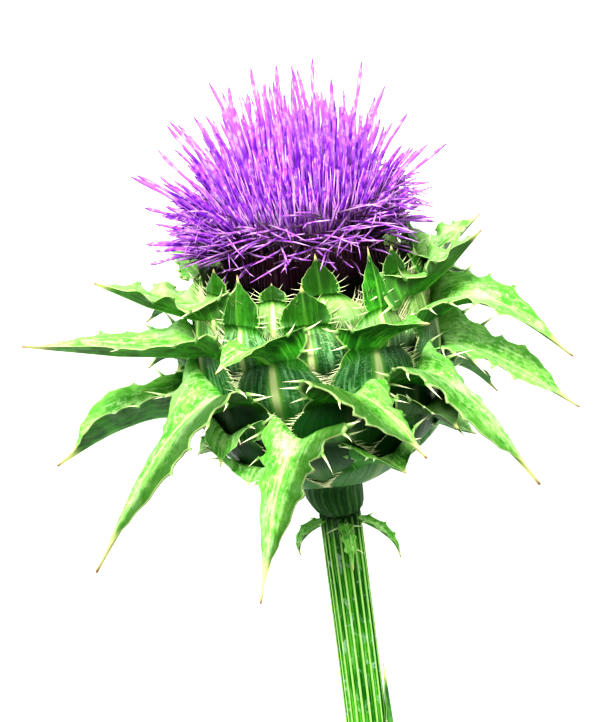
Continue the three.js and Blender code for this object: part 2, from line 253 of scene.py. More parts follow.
def lay_pattern(tree, note, stretch, settings):
    """Noise with a real size: stretch is its grains per mm along and across. The third number of stretch
    moves it on from leaf to leaf, so that no two are alike."""
    stretched = add_node(tree, "ShaderNodeVectorMath", {"operation": "MULTIPLY", 1: stretch},
                         {0: note["span"]})
    return add_node(tree, "ShaderNodeTexNoise", {"Scale": 1.0, **settings},
                    {"Vector": stretched.outputs["Vector"]}).outputs["Fac"]


def finish_material(material, colour, roughness, relief, settings):
    """Roughness is a measure with its least and most, relief a measure with its strength and depth."""
    tree = material.node_tree
    measure, least, most = roughness
    gloss = add_node(tree, "ShaderNodeMapRange", {"To Min": least, "To Max": most}, {"Value": measure})
    height, strength, depth = relief
    bump = add_node(tree, "ShaderNodeBump", {"Strength": strength, "Distance": depth}, {"Height": height})
    shader = add_node(tree, "ShaderNodeBsdfPrincipled", settings, {
        "Base Color": colour, "Roughness": gloss.outputs["Result"], "Normal": bump.outputs["Normal"],
    })
    add_node(tree, "ShaderNodeOutputMaterial", {}, {"Surface": shader.outputs["BSDF"]})
    print("made", material.name, "with", len(tree.nodes), "nodes")


# %% [markdown]
# ## The bracts' skin
# A milk thistle's bract is a tough living leaf with a waxy cuticle, so it has a soft sheen rather than a
# gloss: an IOR of about 1.45 and a roughness near 0.45. Its pressed-down scale is a dull blue-green with
# a broad pale midrib and a little cobweb wool, whose real threads are too fine to show and are drawn
# coarser here; painted shade darkens it at its tucked foot, on the head's lower half and under the limbs.
# Its limb is bright yellow-green above, with pale patches that are partly a waxy bloom and partly painted
# highlights, and painted darker below as painted shade, with a cream edge, and its spines go from pale
# green through cream to tan. Fibres run along it about 0.5 mm apart.
# One limb at the left has a small purple flush.

# %% Material: waxy_bract_leaf
bract_leaf, tree, note = new_material("waxy_bract_leaf")
fibres = lay_pattern(tree, note, (0.16, 1.9, 40.0), {"Detail": 3.0, "Roughness": 0.6})  # 0.5 mm apart
blotches = lay_pattern(tree, note, (0.3, 0.3, 17.0), {"Detail": 4.0, "Roughness": 0.55})  # 3 mm wide
bloom_and_highlights = lay_pattern(tree, note, (0.16, 0.22, 29.0), {"Detail": 3.0, "Roughness": 0.5})  # 5 mm wide
grain = lay_pattern(tree, note, (1.1, 1.9, 23.0), {"Detail": 4.0, "Roughness": 0.75})  # 0.5 to 1 mm
wool = lay_pattern(tree, note, (2.6, 1.2, 31.0), {"Detail": 5.0, "Roughness": 0.7, "Distortion": 1.4})

where = add_node(tree, "ShaderNodeTexCoord", {})
split = add_node(tree, "ShaderNodeSeparateXYZ", {}, {"Vector": where.outputs["Object"]})
up_the_head = split.outputs["Y"]
head_y = head_place.y * mm
scale_paint = paint(tree, "#3A7A3A", [
    (blotches, 0.42, 0.6, "#205A30", 0.85),
    (fibres, 0.46, 0.62, "#8CC48A", 0.8),
    (up_the_head, head_y + 0.004, head_y + 0.016, "#C6DE84", 0.7),
    (wool, 0.5, 0.68, "#CBE8AE", 0.65),
    (note["out"], 0.19, 0.1, "#86C04E", 0.7),
    (note["out"], 0.105, 0.045, "#EDF6B4", 0.9),
    (note["out"], 0.86, 0.98, "#B4DE7A", 0.7),
    # painted shade: the scale darkens toward its foot, tucked behind the row below
    (note["along"], -0.3, -0.7, "#0A260F", 0.85),
    # painted shade: the scales on the head's lower half are darker
    (up_the_head, head_y + 0.001, head_y - 0.011, "#2A6C1C", 0.8),
    # painted shade under the limbs, where the last number of the note is below nothing
    (note["spine"], -0.1, -0.9, "#0D3D12", 0.9),
])

# %% The limb's two faces
# The underside is painted darker green than the upper face: painted shade.
underside_painted_shade = paint(tree, "#3A8E20", [
    (blotches, 0.44, 0.6, "#1C5A10", 0.85),
    (fibres, 0.5, 0.68, "#6DBB44", 0.6),
    (grain, 0.49, 0.36, "#14460C", 0.6),
    (note["out"], 0.16, 0.03, "#86C853", 0.6),
    (up_the_head, head_y + 0.015, head_y + 0.021, "#1B5210", 0.75),
])
flush_middle = as_laid(Vector((-31.5, -3.4, -0.4)))
from_flush = add_node(tree, "ShaderNodeVectorMath", {"operation": "DISTANCE", 1: flush_middle},
                      {0: where.outputs["Object"]}).outputs["Value"]
upper_paint = paint(tree, "#88CC5A", [
    (blotches, 0.4, 0.56, "#4A9A2A", 0.9),
    # pale patches, partly a waxy bloom and partly painted highlights
    (bloom_and_highlights, 0.48, 0.64, "#C2E8A4", 0.65),
    (fibres, 0.5, 0.68, "#C4F596", 0.6),
    (grain, 0.5, 0.64, "#D6F4B6", 0.5),
    (grain, 0.49, 0.36, "#3E8E26", 0.6),
    (note["out"], 0.12, 0.02, "#CCF3A0", 0.5),
    (note["out"], 0.55, 0.9, "#6DBD42", 0.5),
    (from_flush, 0.0026, 0.001, "#96487A", 0.7),
])

# %% Limb, scale, edge and spines together
limb_paint = paint(tree, underside_painted_shade, [
    (note["upper"], 0.3, 0.7, upper_paint, 1.0),
    # painted shade on limbs in the others' shade, and on one half of some
    (note["spine"], -0.1, -1.0, "#285010", 0.85),
])
bract_paint = paint(tree, scale_paint, [
    (note["along"], -0.1, 0.03, limb_paint, 1.0),
    (note["out"], 0.94, 0.99, "#DDEEA8", 0.5),
    (note["along"], 0.8, 0.93, "#E4E49A", 0.85),
    (note["along"], 0.95, 1.0, "#A8704A", 0.8),
    # the pale base of each spine, and painted light on the paler limbs, partly their own paler green
    (note["spine"], 0.05, 0.4, "#E2EFB0", 0.7),
    (note["spine"], 0.3, 0.6, "#F6F7CF", 1.0),
    (note["spine"], 0.8, 1.0, "#D7B27E", 0.8),
])
finish_material(bract_leaf, bract_paint, (blotches, 0.36, 0.56), (fibres, 0.5, 0.0004),
                {"IOR": 1.45, "Specular IOR Level": 0.3})

# %% [markdown]
# ## Five rows of spreading bracts, and an upright row
# Every bract has the same two parts. Its scale lies on the globe between its neighbours, and its limb
# leaves the globe at the neck. For each bract the table gives its azimuth, how far out and how far up the
# tip is from the neck, and what is special about it. It starts from the CAD model's own table, with some
# of the upright bracts taller, lower or narrower, and two rows have a pair at the back whose tips rest on
# the floor. Feet and necks are shares of the head's depth or of the rim's height. The overhang says how
# much of a row's scales is painted darker, as painted shade under the limbs above.

# %% Where each bract grows
on_floor = "on the floor"
rows = [
    {"name": "basal", "overhang": 0.2, "foot": -0.92, "neck": basal_neck, "width": 5.4, "arch": 0.1,
     "bracts": [
        (25, 8.2, -0.5, {"width": 6.4}), (78, 6.7, -3), (128, 10.7, -5), (178, 11.7, -7),
        (-132, 10.7, -5), (-88, 4.5, -1.5), (-42, 3.5, -2)]},
    {"name": "lower", "overhang": 0.95, "foot": -0.41, "neck": -0.12, "width": 6.0, "arch": 2.6,
     "bracts": [
        (-84, 25, -4.5, {"arch": 5, "width": 6.8}), (-48, 4.5, -4, {"arch": 1.5}),
        (-10, 14.5, -21.5, {"arch": 6.5, "sway": -15}), (48, 7.5, -2.5, {"arch": 0.6}), (100, 9.5, -6),
        (147, 24.5, on_floor), (-147, 24.5, on_floor), (-117, 10.5, -6)]},
    {"name": "middle", "overhang": 0.95, "foot": -0.06, "neck": 0.21, "width": 6.2, "arch": 2.6,
     "bracts": [
        (-48, 26, -22.4, {"arch": 5, "width": 7.2, "sway": -12}), (10, 15, -7.4, {"width": 7, "sway": 14}),
        (43, 19, -18.4, {"arch": 5, "width": 6.6, "sway": 12}), (82, 21.5, -13, {"arch": 5}),
        (124, 12.5, -7.4), (179, 14, -7.5, {"width": 5.4}), (-130, 12.5, -7.4), (-97, 8.5, 0.6)]},
    {"name": "upper", "overhang": 0.6, "foot": 0.26, "neck": 0.52, "width": 6.2, "arch": 2.6,
     "bracts": [
        (-67, 29, 7, {"arch": 0, "width": 6.6, "sway": -5}), (-22, 9.5, 1, {"sway": -13}),
        (26, 9.5, 4, {"arch": 1.5, "sway": 12}), (72, 23, -8, {"arch": 7, "width": 6.8}), (115, 13.4, -3),
        (160, 22.4, on_floor), (-163, 22.4, on_floor), (-114, 11.4, -1)]},
    {"name": "crown", "overhang": 0.15, "foot": 0.57, "neck": 0.77, "width": 5.2, "arch": 2.6,
     "bracts": [
        (-73, 17.2, 8.8, {"arch": 0}), (-38, 0.2, 8.0, {"erect": True, "width": 5.4}),
        (-4, 1.3, 6.4, {"erect": True, "width": 6}), (33, 0.3, 10, {"erect": True, "width": 3.6}),
        (66, 12.7, 9.3, {"arch": 0}), (98, 11.7, 6.8, {"arch": 0}), (142, 10.7, 6.8, {"arch": 0}),
        (-175, 10.7, 5.8, {"arch": 0}), (-122, 8.7, 5.8, {"arch": 0})]},
    {"name": "inner", "overhang": 0.0, "foot": 0.81, "neck": 0.96, "width": 3.8, "arch": 0.0,
     "bracts": [
        (-58, 1, 4.0, {"erect": True}), (-20, 0.8, 2.6, {"erect": True, "width": 2.4}),
        (5, 0.8, 6.6, {"erect": True, "width": 4.4}),
        (52, 1, 4.2, {"erect": True}), (100, 1.1, 5.2, {"erect": True}), (148, 1.1, 5.2, {"erect": True}),
        (-160, 1.1, 5.2, {"erect": True}), (-106, 1.1, 5.2, {"erect": True})]},
]


middle_height = 37.5  # mm that the head's middle lies above the tips on the floor


def level_at(share):
    """A height on the head from a share of its depth, below the middle, or of its rim, above it."""
    return share * (head_depth if share < 0 else rim_height)


def height_on_floor(reach, azimuth):
    """How high on the upright head a point is that touches the floor once the head is laid down."""
    depth = -reach * math.cos(math.radians(azimuth))
    slope = math.radians(lifted)
    return (depth * math.cos(slope) - middle_height) / math.sin(slope)


# %% Plan every bract
def plan_bracts(row):
    """Every bract of a row, with its levels, its reach and its share of the globe on either side."""
    round_order = sorted(bract[0] for bract in row["bracts"])
    planned = []
    for number, (azimuth, out, rise, *special) in enumerate(row["bracts"]):
        at = round_order.index(azimuth)
        after = round_order[(at + 1) % len(round_order)]
        neck = level_at(row["neck"])
        bract = {
            "name": f"{row['name']}_bract_{number + 1}", "azimuth": azimuth, "neck": neck,
            "foot": level_at(row["foot"]), "reach": globe_radius(neck) + out, "width": row["width"],
            "arch": row["arch"], "sway": 0, "erect": False, "row": row["name"],
            "overhang": row["overhang"], "left": (azimuth - round_order[at - 1]) % 360 / 2,
            "right": (after - azimuth) % 360 / 2,
        }
        bract.update(special[0] if special else {})
        if bract["erect"]:
            bract["arch"] = 0
        bract["tip"] = neck + rise if rise != on_floor else height_on_floor(
            bract["reach"], azimuth + bract["sway"])
        planned.append(bract)
    return planned


bracts = [bract for row in rows for bract in plan_bracts(row)]
print("bracts planned:", len(bracts))

# %% [markdown]
# ## A blade with teeth
# A limb is a channelled blade: its middle is a thick midrib, and its edges are thin and stand up. Its
# widest part is two shoulders just past the neck, which are pulled out into teeth, and each tooth ends in
# a spine. One function makes any blade, from a limb to the small leaves on the stem: it needs the line
# that its middle follows and the direction that is sideways for it.

# %% Outlines, and where a ring's points are
# Each outline is a table: a share of the length, and the width there as a multiple of the limb's own.
spreading_shape = [
    (0.0, 0.9), (0.03, 1.25), (0.08, 1.95), (0.14, 2.05), (0.22, 1.5), (0.33, 1.14), (0.5, 1.0),
    (0.64, 0.82), (0.76, 0.48), (0.84, 0.22), (0.9, 0.1), (1.0, 0.03),
]
oval_shape = [
    (0.0, 0.9), (0.03, 1.2), (0.08, 1.75), (0.14, 1.8), (0.22, 1.35), (0.33, 1.1), (0.48, 1.16),
    (0.62, 1.12), (0.74, 0.78), (0.82, 0.3), (0.87, 0.11), (1.0, 0.03),
]
erect_shape = [
    (0.0, 1.1), (0.15, 1.24), (0.35, 1.08), (0.6, 0.64), (0.78, 0.26), (0.88, 0.1), (1.0, 0.03),
]
leaflet_shape = [(0.0, 0.8), (0.2, 1.05), (0.45, 0.95), (0.7, 0.5), (0.88, 0.18), (1.0, 0.04)]
right_stops = [0.09, 0.24, 0.45, 0.66, 0.84, 0.96, 1.0]  # from the midrib out to the edge
upper_stops = [-out for out in reversed(right_stops)] + [0.0] + right_stops
right_under = [0.12, 0.34, 0.6, 0.84, 0.97]
lower_stops = list(reversed(right_under)) + [0.0] + [-out for out in right_under]
ring_stops = [("upper", out) for out in upper_stops] + [("lower", out) for out in lower_stops]
rim_share = 0.965  # further out than this is the rounded edge itself
midrib_share = 0.07  # and nearer to the middle than this, the groove over the midrib


def along_table(table, share):
    """Reads a smooth value between the lines of a table."""
    for (low, before), (high, after) in zip(table, table[1:]):
        if share <= high:
            part = max(0.0, (share - low) / (high - low))
            part = part * part * (3 - 2 * part)
            return before + (after - before) * part
    return table[-1][1]


print("a ring has", len(ring_stops), "points")


# %% A blade's ring
def blade_ring(blade, share):
    """One ring of a blade: upper face from left to right, then back under the midrib."""
    step = 0.004
    settled = min(1.0, share / 0.1)  # a limb takes on its own form over its first tenth
    centre = blade["line"](share)
    ahead = (blade["line"](min(1.0, share + step)) - blade["line"](max(0.0, share - step))).normalized()
    side = blade["side"](share)
    roll = math.radians(blade["roll"]) * min(1.0, share / 0.35)  # it turns over its first third
    up = Matrix.Rotation(roll, 3, ahead) @ ahead.cross(side).normalized()
    across = up.cross(ahead).normalized()
    wide = along_table(blade["shape"], share) * blade["width"]
    thick = blade["thickness"] * min(1.0, 0.2 + 1.5 * (1 - share)) * (0.7 if share < 0.03 else 1.0)
    bent = min(1.0, max(0.0, (share - 0.12) / 0.3))  # 0 on the shoulders, 1 further out
    channel = blade["channel"] * (1 - bent) + blade["far_channel"] * bent
    hollow = channel * wide * min(1.0, share / 0.14)
    ring = []
    for face, out in ring_stops:
        side_teeth = blade["teeth"][0 if out < 0 else 1]
        edge = abs(out)
        # Each tooth pulls the edge outward near its own place.
        reach = wide / 2 + sum(
            height * max(0.0, 1 - abs(share - at) * blade["length"] / base) ** 1.6
            for at, height, base, _ in side_teeth) * edge ** 5
        wave = blade["wave"] * wide * edge ** 3 * math.sin(
            blade["waves"] * share * math.pi * 2 + blade["phase"] + (2.1 if out < 0 else 0.0))
        # The edges stand up, wave, and swell a little beside the midrib. The shoulders are swept back.
        lift = hollow * edge ** 1.5 + wave * settled * (1 - share)
        lift += blade["pillow"] * wide * math.sin(math.pi * edge) ** 2 * settled
        swept = -blade["sweep"] * edge ** 1.7 * max(0.0, 1 - ((share - 0.08) / 0.2) ** 2)
        depth = 0.0
        if face == "lower":
            depth = thick * (0.28 + 0.72 * (1 - edge) ** 1.3)
        elif edge < midrib_share:
            depth = 0.12 * settled
        if edge > rim_share:
            depth = thick * 0.13
        point = centre + across * (out * reach) + up * (lift - depth) + ahead * swept
        on_top = 0.5 if edge > rim_share else (1.0 if face == "upper" else 0.0)
        # Painted shade on one half of some limbs and all over a shaded one; below nothing, a pale one is
        # lighter.
        toward_painted_shade = out if blade["painted_shade_half"] > 0 else -out
        painted_darkness = abs(blade["painted_shade_half"]) * min(1.0, max(0.0, toward_painted_shade * 1.35)) * settled
        painted_darkness += blade["shade"]
        ring.append((point, (share, edge, on_top, -painted_darkness),
                     (share * blade["length"], out * reach, blade["tint"])))
    return ring


# %% The blade's edge, and a spine to stand on it
def edge_frame(blade, share, out):
    """Where the edge is, and which way is outward, forward and up there."""
    ring = blade_ring(blade, share)
    edge = ring[0][0] if out < 0 else ring[len(upper_stops) - 1][0]
    inner = ring[2][0] if out < 0 else ring[len(upper_stops) - 3][0]
    ahead = (blade["line"](min(1.0, share + 0.01)) - blade["line"](max(0.0, share - 0.01))).normalized()
    outward = edge - inner
    outward = (outward - ahead * outward.dot(ahead)).normalized()
    return edge, outward, ahead, ahead.cross(blade["side"](share)).normalized()


def add_spine(skin, root, direction, bend, radius, length, tint, sides=6, start=0.15):
    """A tapering, slightly bent spine. It starts a little inside the leaf."""
    direction = direction.normalized()
    side = direction.cross(Vector((0.3, 0.5, 0.81))).normalized()
    other = direction.cross(side)
    rings = []
    for part, thick in ((-0.1, 1.2), (0.0, 1.0), (0.15, 0.72), (0.45, 0.42), (0.75, 0.2), (1.0, 0.03)):
        centre = root + direction * (length * part) + bend * (length * part * abs(part))
        ring = []
        for i in range(sides):
            turn = -math.tau * i / sides
            point = centre + (side * math.cos(turn) + other * math.sin(turn)) * (radius * thick)
            ring.append((point, (0.5, 0.5, 0.5, start + (1 - start) * max(0.0, part)),
                         (length * part, 0.0, tint)))
        rings.append(ring)
    add_rings(skin, rings)


# %% [markdown]
# ## The scale under the limb
# The scale is what makes the head look shingled. Its foot is tucked deep behind the row below, its outer
# face is gently rounded with a raised midrib, and its top narrows like a fingernail before it bends out
# into the limb. The bend is made by rings that go from the scale's last ring to the limb's first on a
# smooth curve. The edge of the scale's top carries a comb of fine spinules.

# %% The scale's rings
visual_tuck = 7.5  # mm, deeper than the CAD scales, so that no gap opens between the rows
narrowing = 0.34  # how much narrower a scale is at the neck than at its widest
widest_opening = 34.0  # degrees to either side, so that a lone scale doesn't wrap round the head


def scale_point(bract, share, out, depth):
    """A point on the scale: share runs from foot to neck, out from one edge to the other."""
    top = 1 - max(0.0, (share - 0.55) / 0.45) ** 2 * narrowing
    foot = bract["foot"] - visual_tuck
    height = foot + (bract["neck"] - 0.3 - foot) * share
    height -= 1.6 * share * out ** 2 * (1 if share < 0.98 else 0.8)  # rounded shoulders
    sunk = 1.9 * (1 - share) ** 1.2  # mm under the globe, most at the foot
    swell = 0.9 * (1 - out ** 2) * math.sin(math.pi * min(1.0, share * 0.9))  # its rounded face
    opening = min((bract["left"] if out < 0 else bract["right"]) * 1.06, widest_opening)
    radius = globe_radius(height) - sunk + swell + depth
    return on_head(radius, bract["azimuth"] + out * opening * top, height)


def scale_ring(bract, share, length):
    """One ring of a scale, with its points in the same order as a blade's."""
    ring = []
    half = globe_radius(bract["neck"]) * math.radians(bract["left"])
    # Painted shade: a scale is painted darker toward its neck, under the limbs above it.
    in_shade = 0.0 if bract["erect"] else bract["overhang"]
    painted_darkness = in_shade * min(1.0, max(0.0, (share - 0.3) / 0.4))
    for face, out in ring_stops:
        edge = abs(out)
        depth = 0.0
        if face == "lower":
            depth = 0.35 + 0.45 * share * (1 - edge ** 3)
            depth += 0.42 * math.exp(-(out / 0.1) ** 2) * share
        if edge > rim_share:
            depth = 0.2
        point = scale_point(bract, share, out, depth)
        ring.append((point, (share - 1.0, edge, 0.0, -painted_darkness),
                     ((share - 1) * length, out * half, bract["tint"])))
    return ring


def bend_rings(before, after, climb, ahead, count):
    """Rings between a scale and its limb, along a curve that leaves one and meets the other smoothly."""
    made = []
    for step in range(1, count + 1):
        t = step / (count + 1)
        ring = []
        for (a, place_a, span_a), (b, place_b, span_b) in zip(before, after):
            knee = (a + climb + b - ahead) / 2
            point = a * (1 - t) ** 2 + knee * (2 * t * (1 - t)) + b * t ** 2
            place = tuple(p + (q - p) * t for p, q in zip(place_a, place_b))
            span = tuple(p + (q - p) * t for p, q in zip(span_a, span_b))
            ring.append((point, place, span))
        made.append(ring)
    return made


# %% [markdown]
# ## Growing the bracts
# Real bracts are never two alike, so each has its own seeded chance: how its edges wave, where its teeth
# are and how they fan. The shoulders' spines are the longest, about 3 to 4.5 mm on a long limb, and they
# turn in every direction. Those further out are shorter and lean forward. The most visible limbs also
# have habits of their own, and small tables hold them.

# %% The habits of single bracts
deep_channels = {"lower_bract_1": 0.5, "basal_bract_1": 0.35, "lower_bract_4": 0.4}  # folded like boats
fleshy = {"middle_bract_1", "lower_bract_3", "middle_bract_2", "middle_bract_3"}  # with rounded backs
oval = {"middle_bract_3", "middle_bract_4", "lower_bract_1", "lower_bract_5"}  # broad until near the tip
crumpled = {"crown_bract_5", "crown_bract_6", "crown_bract_1"}  # their edges wave more, and closer
rolls = {  # degrees about the limb's own line
    "middle_bract_1": 12, "lower_bract_3": 10, "middle_bract_2": -22, "middle_bract_3": -14,
    "middle_bract_4": 19, "upper_bract_4": 10,
}
stretch = {  # times wider than the row's table says
    "middle_bract_1": 1.25, "lower_bract_3": 1.16, "crown_bract_1": 1.35, "upper_bract_1": 1.1,
    "crown_bract_5": 1.5, "crown_bract_6": 1.5, "crown_bract_9": 1.3,
}
visual_arch = {  # mm, where it isn't the row's own
    "middle_bract_4": 2.0, "upper_bract_4": 5.5, "lower_bract_1": 3.5,
}
painted_shade_half = {  # painted shade: above nothing where the half toward the next bract is painted dark
    "middle_bract_1": 1.0, "lower_bract_3": 0.9, "middle_bract_2": -0.9, "middle_bract_3": -0.6,
    "lower_bract_1": 0.6,
}
painted_shade_and_light = {  # painted shade on those in the others' shade, and below nothing painted light, partly a paler green
    "inner_bract_1": 0.7, "inner_bract_2": 1.0, "inner_bract_3": 0.8, "inner_bract_4": 0.8,
    "crown_bract_2": 0.6, "crown_bract_3": 0.7, "lower_bract_4": 0.8, "crown_bract_5": -0.11,
    "crown_bract_6": -0.11, "upper_bract_1": -0.1, "crown_bract_1": -0.12, "middle_bract_4": -0.09,
}
long_limb = 14  # mm; longer limbs have more teeth and longer spines
shoulder_share = 0.3  # teeth nearer to the neck than this are the shoulders' own
print("bracts in shade:", sum(value > 0 for value in painted_shade_and_light.values()))


# %% Teeth and their spines
def choose_teeth(chance, shares, height, base, angles):
    """One side's teeth: where each is, how high, how broad at its base, and which way its spine turns."""
    teeth = []
    for at, angle in zip(shares, angles):
        size = chance.uniform(0.75, 1.15)
        moved = at + chance.uniform(-0.012, 0.012)
        teeth.append((moved, height * size, base, angle + chance.uniform(-9, 9)))
    return teeth


def add_edge_spines(skin, blade, chance, longest, radius):
    """A spine on every tooth of the shoulders, and on some of the teeth further out."""
    some_bare = 0.1 if blade["wave"] > 0.15 else 0.5
    for side, teeth in ((-1, blade["teeth"][0]), (1, blade["teeth"][1])):
        for at, _, _, angle in teeth:
            edge, outward, ahead, up = edge_frame(blade, at, side)
            if at > shoulder_share and chance.random() < some_bare:
                continue
            long, thick = (1.0, 1.0) if at < shoulder_share else (0.55, 0.7)
            turned = math.radians(angle)
            direction = outward * math.sin(turned) + ahead * math.cos(turned)
            lift = chance.uniform(-0.15, 0.55)
            length = longest * chance.uniform(0.7, 1.1) * long
            add_spine(skin, edge - outward * 0.3, direction + up * lift, ahead * 0.15,
                      radius * thick, length, blade["tint"])


# %% The limb of one bract
def limb_blade(bract, chance):
    """The blade of a bract's limb, along the line that its CAD solid follows, or close to it."""
    name = bract["name"]
    neck = on_head(globe_radius(bract["neck"]) + 1.35, bract["azimuth"], bract["neck"])
    tip = on_head(bract["reach"], bract["azimuth"] + bract["sway"], bract["tip"])
    length = (tip - neck).length
    arch = visual_arch.get(name, bract["arch"])

    def line(share):
        point = neck.lerp(tip, share)
        point.z += arch * math.sin(math.pi * share ** 0.8)
        return point

    def side(share):
        return on_head(1, bract["azimuth"] + bract["sway"] * share + 90, 0)

    size = min(1.0, length / 18)
    if bract["erect"]:
        shares, height = (0.04, 0.12, 0.21, 0.31, 0.43, 0.56), 0.55
        angles = (98, 86, 74, 62, 52, 44)
    elif length > long_limb:
        shares, height = (0.035, 0.08, 0.125, 0.175, 0.25, 0.37, 0.52), 1.5
        angles = (142, 118, 94, 72, 56, 46, 40)
    elif bract["row"] == "crown":
        shares, height = (0.04, 0.1, 0.17, 0.25, 0.34, 0.44, 0.55, 0.67), 1.7
        angles = (130, 112, 94, 80, 70, 62, 56, 50)
    else:
        shares, angles, height = (0.05, 0.12, 0.2, 0.33, 0.5), (125, 100, 76, 58, 46), 1.15
    base = 1.25 if length > long_limb else 1.05
    shape = oval_shape if name in oval else spreading_shape
    thickness = (2.3 if name in fleshy else 1.5) * (0.5 if bract["erect"] else max(0.65, size))
    wave = 0.03 if bract["erect"] or name in fleshy else (0.2 if bract["row"] == "crown" else 0.07)
    closer = 2.0 if name in crumpled else 0.0
    return {
        "line": line, "side": side, "length": length, "width": bract["width"] * stretch.get(name, 1),
        "shade": painted_shade_and_light.get(name, 0.0), "painted_shade_half": painted_shade_half.get(name, 0.0),
        "shape": erect_shape if bract["erect"] else shape, "thickness": thickness,
        "channel": 0.07 if bract["erect"] else deep_channels.get(name, 0.27),
        "far_channel": deep_channels.get(name, -0.14 if name in fleshy else 0.16),
        "roll": rolls.get(name, 0), "pillow": 0.04, "wave": wave,
        "waves": chance.uniform(1.6, 2.6) + closer, "phase": chance.uniform(0, math.tau),
        "sweep": 0.3 if bract["erect"] else 3.3 * size, "tint": bract["tint"],
        "teeth": [choose_teeth(chance, shares, height * max(0.6, size), base, angles) for _ in range(2)],
    }


# %% The comb of a scale
def add_comb(skin, bract, chance):
    """Fine spinules along the edge of the scale's top. Near the rim they are longer and stand up."""
    near_rim = bract["row"] in ("crown", "inner")
    count = 18 if near_rim else 13
    for side in (-1, 1):
        for step in range(count):
            share = 0.6 + 0.38 * (step + chance.uniform(-0.3, 0.3)) / (count - 1)
            root = scale_point(bract, share, side * 0.96, 0.25)
            outward = scale_point(bract, share, side, 0.3) - scale_point(bract, share, side * 0.8, 0.3)
            climb = scale_point(bract, min(1.0, share + 0.05), side, 0.3) - scale_point(
                bract, share - 0.05, side, 0.3)
            away = Vector((root.x, root.y, 0)).normalized()
            lean = outward.normalized() * 0.9 + climb.normalized() * (1.1 if near_rim else 0.5)
            lean += away * chance.uniform(0.1, 0.5)
            long = chance.uniform(1.6, 4.0) if near_rim else chance.uniform(1.0, 2.4)
            add_spine(skin, root, lean, away * 0.1, 0.11, long, bract["tint"], sides=4, start=0.5)


# %% Grow them all
def grow_bract(bract):
    """Scale, bend and limb as one skin, with the spines and the comb."""
    chance = random.Random("milk thistle " + bract["name"])
    bract["tint"] = chance.random()
    blade = limb_blade(bract, chance)
    skin = new_skin()
    scale_length = bract["neck"] - bract["foot"] + visual_tuck
    scale_rings = [scale_ring(bract, step / 14 * 0.97, scale_length) for step in range(15)]
    steps = 44 if blade["length"] > long_limb else 26
    shares = [0.03 + 0.97 * (step / steps) ** 1.15 for step in range(steps + 1)]
    limb_rings = [blade_ring(blade, share) for share in shares]
    neck = bract["neck"]
    climb = on_head(globe_radius(neck), bract["azimuth"], neck)
    climb -= on_head(globe_radius(neck - 1), bract["azimuth"], neck - 1)  # up the globe's surface
    ahead = (blade["line"](0.06) - blade["line"](0.03)).normalized()
    between = bend_rings(scale_rings[-1], limb_rings[0], climb * 1.2, ahead * 0.8, 4)
    add_rings(skin, scale_rings + between + limb_rings)
    longest = 4.3 if blade["length"] > long_limb else 3.3
    if bract["erect"]:
        longest = 2.1
    add_edge_spines(skin, blade, chance, longest, 0.15 if bract["erect"] else 0.34)
    add_comb(skin, bract, chance)
    return finish_piece("leaf_" + bract["name"], skin, bract_leaf, [bract["name"]])


grown = [grow_bract(bract) for bract in bracts]
print("bracts grown:", len(grown), "with", sum(len(p.data.polygons) for p in grown), "faces")

# %% [markdown]
# ## The florets' skin
# A floret is thin, moist tissue with almost no wax: matt to satin, roughness about 0.55. It is painted
# dark purple down in the head, as painted shade where light hardly reaches, violet in its narrow lobes,
# deep purple on the tube of joined anthers, and lilac on the style. Streaks 0.3 mm apart run along every
# strand; on the lobes the pale ones are partly painted highlights and the dark ones partly painted shade.
# A little sheen stands for the fuzz that catches light along such thin strands.

# %% Material: satin_floret
floret_tissue, tree, note = new_material("satin_floret")
strands = lay_pattern(tree, note, (0.5, 3.0, 23.0), {"Detail": 2.0})
where = add_node(tree, "ShaderNodeTexCoord", {})
rim_middle = as_laid(Vector((0, 0, rim_height)))
from_rim = add_node(tree, "ShaderNodeVectorMath", {"operation": "DISTANCE", 1: rim_middle},
                    {0: where.outputs["Object"]}).outputs["Value"]
# painted shade: each lobe goes from dark at its base to violet and lilac further out
lobe_paint = paint(tree, "#36053E", [
    (note["along"], 0.1, 0.5, "#B840F2", 1.0),
    (note["along"], 0.45, 0.85, "#DC80FC", 1.0),
    # pale streaks, partly painted highlights, and dark ones, partly painted shade between strands
    (strands, 0.46, 0.58, "#FACCFF", 0.85),
    (strands, 0.46, 0.35, "#66169E", 0.85),
    # painted shade deep in the tuft, near the rim's middle
    (from_rim, 0.0205, 0.0135, "#3A0434", 0.92),
])
anther_paint = paint(tree, "#7A22B4", [(strands, 0.42, 0.62, "#C46AF0", 0.85)])
style_paint = paint(tree, "#BC6CE6", [
    (strands, 0.48, 0.64, "#F0C8FC", 0.7),
    (note["along"], 0.7, 1.0, "#6E2E7C", 0.8),
])
floret_paint = paint(tree, lobe_paint, [
    (note["out"], 0.3, 0.45, anther_paint, 1.0),
    (note["out"], 0.65, 0.8, style_paint, 1.0),
    # painted shade on tubes and limp threads, as much as their depth says
    (note["upper"], 0.02, 0.5, "#33061F", 0.97),
])
finish_material(floret_tissue, floret_paint, (strands, 0.45, 0.62), (strands, 0.4, 0.0002),
                {"IOR": 1.4, "Sheen Weight": 0.15, "Sheen Roughness": 0.4})

# %% [markdown]
# ## Some hundreds of florets
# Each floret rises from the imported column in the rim, bends outward, and opens into five narrow lobes
# round a dark tube of anthers, out of which the style stands. They are laid out by the golden angle, as
# the plant does, so that they cover the tuft evenly, and each gets a little chance of its own. The
# outermost ones hang slightly, and their lobes have gone limp: those are the threads that curl round the
# rim. All are joined into the CAD model's six bundles.

